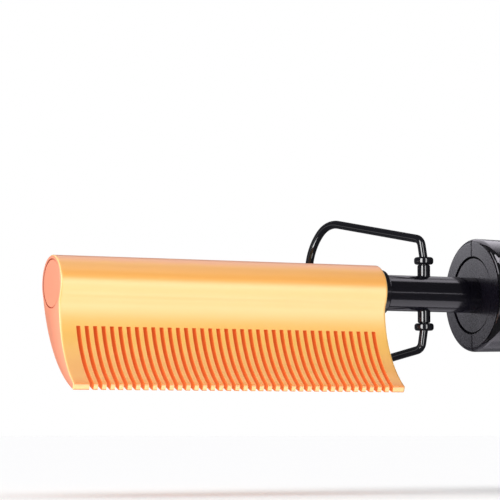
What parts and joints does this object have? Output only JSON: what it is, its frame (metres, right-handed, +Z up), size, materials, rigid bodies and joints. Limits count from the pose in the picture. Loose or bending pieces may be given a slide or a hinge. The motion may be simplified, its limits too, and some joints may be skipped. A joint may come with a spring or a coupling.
{
  "type": "hot comb",
  "caption": "Electric pressing comb: hollow metal head with curved teeth, tube neck, swinging wire stand, two-part handle with display and buttons, swivelling cord inlet.",
  "frame": {"origin": "centre of the mouth of the cord inlet in the swivel at the handle's tail, on the main axis of handle, neck and head", "axes": "+X along the main axis from the comb head to the tail; +Z up, along the stand's pivot, with the teeth pointing down; +Y from the control panel's side to the stand's side"},
  "size_m": [0.2899, 0.0681, 0.0573],
  "materials": {
    "comb_metal": "satin anodised, fine grain along the head",
    "end_cap_metal": "satin anodised",
    "heater_ceramic": "matt",
    "spreader_metal": "bare extruded",
    "sensor_ceramic": "glazed",
    "fuse_metal": "tinned",
    "collar_black": "semi gloss",
    "screw_steel": "zinc plated",
    "tube_black": "gloss black",
    "stand_black": "gloss black",
    "flange_black": "satin to gloss",
    "clamp_metal": "die cast",
    "shell_black": "satin to gloss",
    "tail_ring_black": "gloss",
    "panel_black": "high gloss",
    "window_clear": "smoked clear",
    "display_white": "moulded",
    "board_green": "solder resist",
    "switch_grey": "moulded",
    "button_black": "satin",
    "plunger_black": "moulded",
    "terminal_green": "moulded",
    "capacitor_yellow": "dipped",
    "fuse_glass": "clear tube",
    "lead_red": "silicone sleeve",
    "lead_white": "silicone sleeve",
    "lead_brown": "insulated wire",
    "swivel_black": "fine texture",
    "ring_brass": "turned",
    "brush_bronze": "spring bronze"
  },
  "bodies": {
    "comb": {"comb_head": "comb_metal", "head_end_cap": "end_cap_metal", "heater_element": "heater_ceramic", "upper_heat_spreader": "spreader_metal", "lower_heat_spreader": "spreader_metal", "temperature_sensor": "sensor_ceramic", "thermal_fuse": "fuse_metal", "neck_collar": "collar_black", "collar_grub_screw": "screw_steel", "neck_tube": "tube_black", "pivot_sleeves": "stand_black", "neck_flange": "flange_black", "tube_clamp": "clamp_metal", "clamp_screws": "screw_steel", "handle_front_shell": "shell_black", "handle_back_shell": "shell_black", "shell_screws": "screw_steel", "tail_ring": "tail_ring_black", "control_panel": "panel_black", "display_window": "window_clear", "display_module": "display_white", "circuit_board": "board_green", "board_screws": "screw_steel", "switch_bodies": "switch_grey", "heater_terminal": "terminal_green", "film_capacitor": "capacitor_yellow", "triac": "plunger_black", "glass_fuse": "fuse_glass", "supply_terminal": "terminal_green", "heater_leads": "lead_red", "sensor_leads": "lead_white", "supply_leads": "lead_brown", "brush_holder": "switch_grey", "contact_brushes": "brush_bronze", "holder_screws": "screw_steel"},
    "stand": {"wire_stand": "stand_black", "stand_collars": "stand_black"},
    "plus": {"plus_button": "button_black", "plus_plunger": "plunger_black"},
    "minus": {"minus_button": "button_black", "minus_plunger": "plunger_black"},
    "power": {"power_button": "button_black", "power_plunger": "plunger_black"},
    "swivel": {"cord_swivel": "swivel_black", "slip_rings": "ring_brass"}
  },
  "joints": [
    {"name": "stand_pivot", "type": "hinge", "parent": "comb", "child": "stand", "pos_m": [-0.1662, 0, 0], "axis": [0, 0, 1], "range_deg": [-86, 57]},
    {"name": "plus_press", "type": "slide", "parent": "comb", "child": "plus", "axis": [0, 1, 0], "range_m": [0, 0.0005], "stiffness_N_per_m": 1200, "springref_m": -0.0003},
    {"name": "minus_press", "type": "slide", "parent": "comb", "child": "minus", "axis": [0, 1, 0], "range_m": [0, 0.0005], "stiffness_N_per_m": 1200, "springref_m": -0.0003},
    {"name": "power_press", "type": "slide", "parent": "comb", "child": "power", "axis": [0, 1, 0], "range_m": [0, 0.0005], "stiffness_N_per_m": 1200, "springref_m": -0.0003},
    {"name": "cord_swivel_turn", "type": "hinge", "parent": "comb", "child": "swivel", "pos_m": [-0.018, 0, 0], "axis": [1, 0, 0], "continuous": true}
  ]
}
